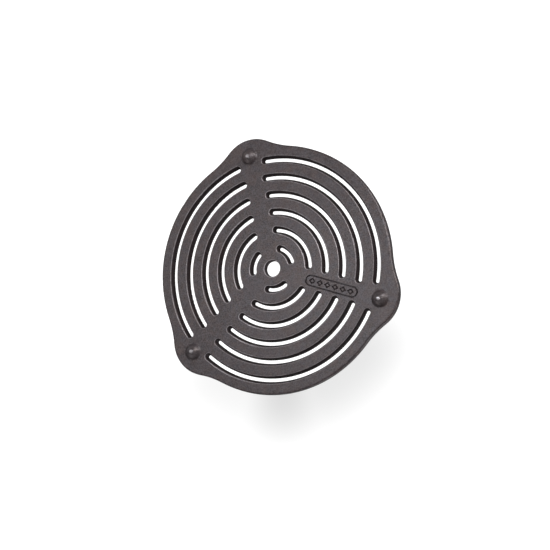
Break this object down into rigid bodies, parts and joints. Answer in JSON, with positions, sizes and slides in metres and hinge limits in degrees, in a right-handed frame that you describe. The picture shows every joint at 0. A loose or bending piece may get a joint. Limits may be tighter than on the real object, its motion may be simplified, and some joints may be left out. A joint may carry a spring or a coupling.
{
  "type": "cast iron grate",
  "caption": "Round cast-iron grate with three lobes, rings of curved slots, a centre hole and three raised foot studs.",
  "frame": {"origin": "on the axis of the centre hole, in the plane of the plain flat face", "axes": "+Z out of the studded face, along the centre hole; +Y towards one of the three lobes; +X completes the right-handed frame"},
  "size_m": [0.2104, 0.2203, 0.0096],
  "materials": {
    "cast_iron": "matte"
  },
  "bodies": {
    "root": {"grate_plate": "cast_iron", "foot_stud_1": "cast_iron", "foot_stud_2": "cast_iron", "foot_stud_3": "cast_iron"}
  },
  "joints": []
}
